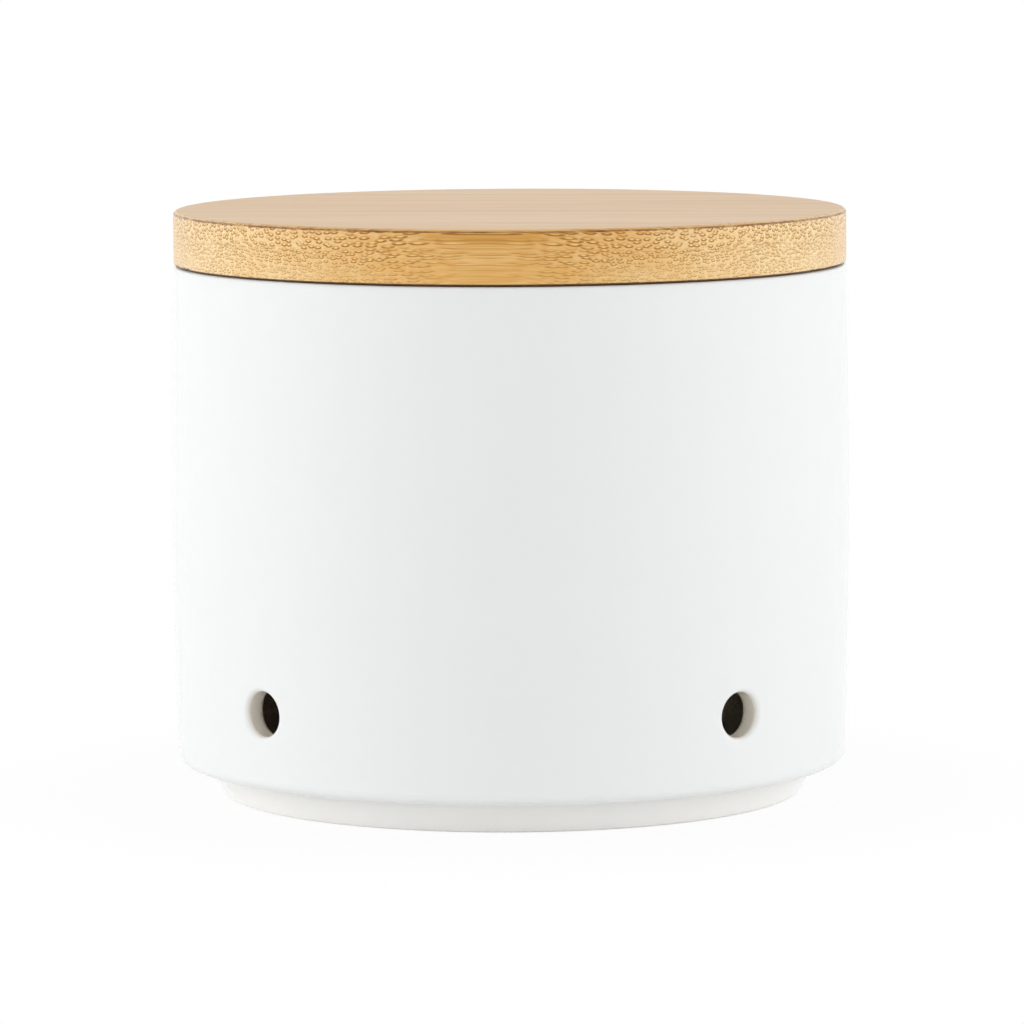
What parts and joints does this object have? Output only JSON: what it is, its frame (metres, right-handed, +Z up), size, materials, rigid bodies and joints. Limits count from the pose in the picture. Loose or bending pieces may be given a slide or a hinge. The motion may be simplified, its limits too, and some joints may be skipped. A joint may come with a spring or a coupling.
{
  "type": "garlic keeper",
  "caption": "Round glazed stoneware pot on a stepped foot with air vents low in its wall, closed by a thick flat bamboo lid, for keeping garlic bulbs dry and aired.",
  "frame": {"origin": "middle of the flat ring under the foot, on the plane that the pot stands on", "axes": "+Z up through the lid; the X and Y axes pass within 1.5 degrees of the middle of the vents, so +X with -Y faces the side between two vents that the picture shows"},
  "size_m": [0.1234, 0.1234, 0.1061],
  "materials": {
    "glaze": "glossy white glaze; bare pale clay on the ring that it stands on and inside below the mouth",
    "bamboo": "natural bamboo, sanded and oiled, satin",
    "silicone": "translucent milky silicone, satin"
  },
  "bodies": {
    "pot": {"pot": "glaze"},
    "seal": {"seal_ring": "silicone"},
    "lid": {"board_strip_1": "bamboo", "board_strip_2": "bamboo", "board_strip_3": "bamboo", "board_strip_4": "bamboo", "board_strip_5": "bamboo", "board_strip_6": "bamboo", "plug_strip_1": "bamboo", "plug_strip_2": "bamboo", "plug_strip_3": "bamboo", "plug_strip_4": "bamboo", "plug_strip_5": "bamboo"}
  },
  "joints": [
    {"name": "lid_lift", "type": "slide", "parent": "pot", "child": "seal", "axis": [0, 0, 1], "range_m": [0, 0.12]},
    {"name": "lid_turn", "type": "hinge", "parent": "seal", "child": "lid", "pos_m": [0, 0, 0.0964], "axis": [0, 0, 1], "continuous": true}
  ]
}
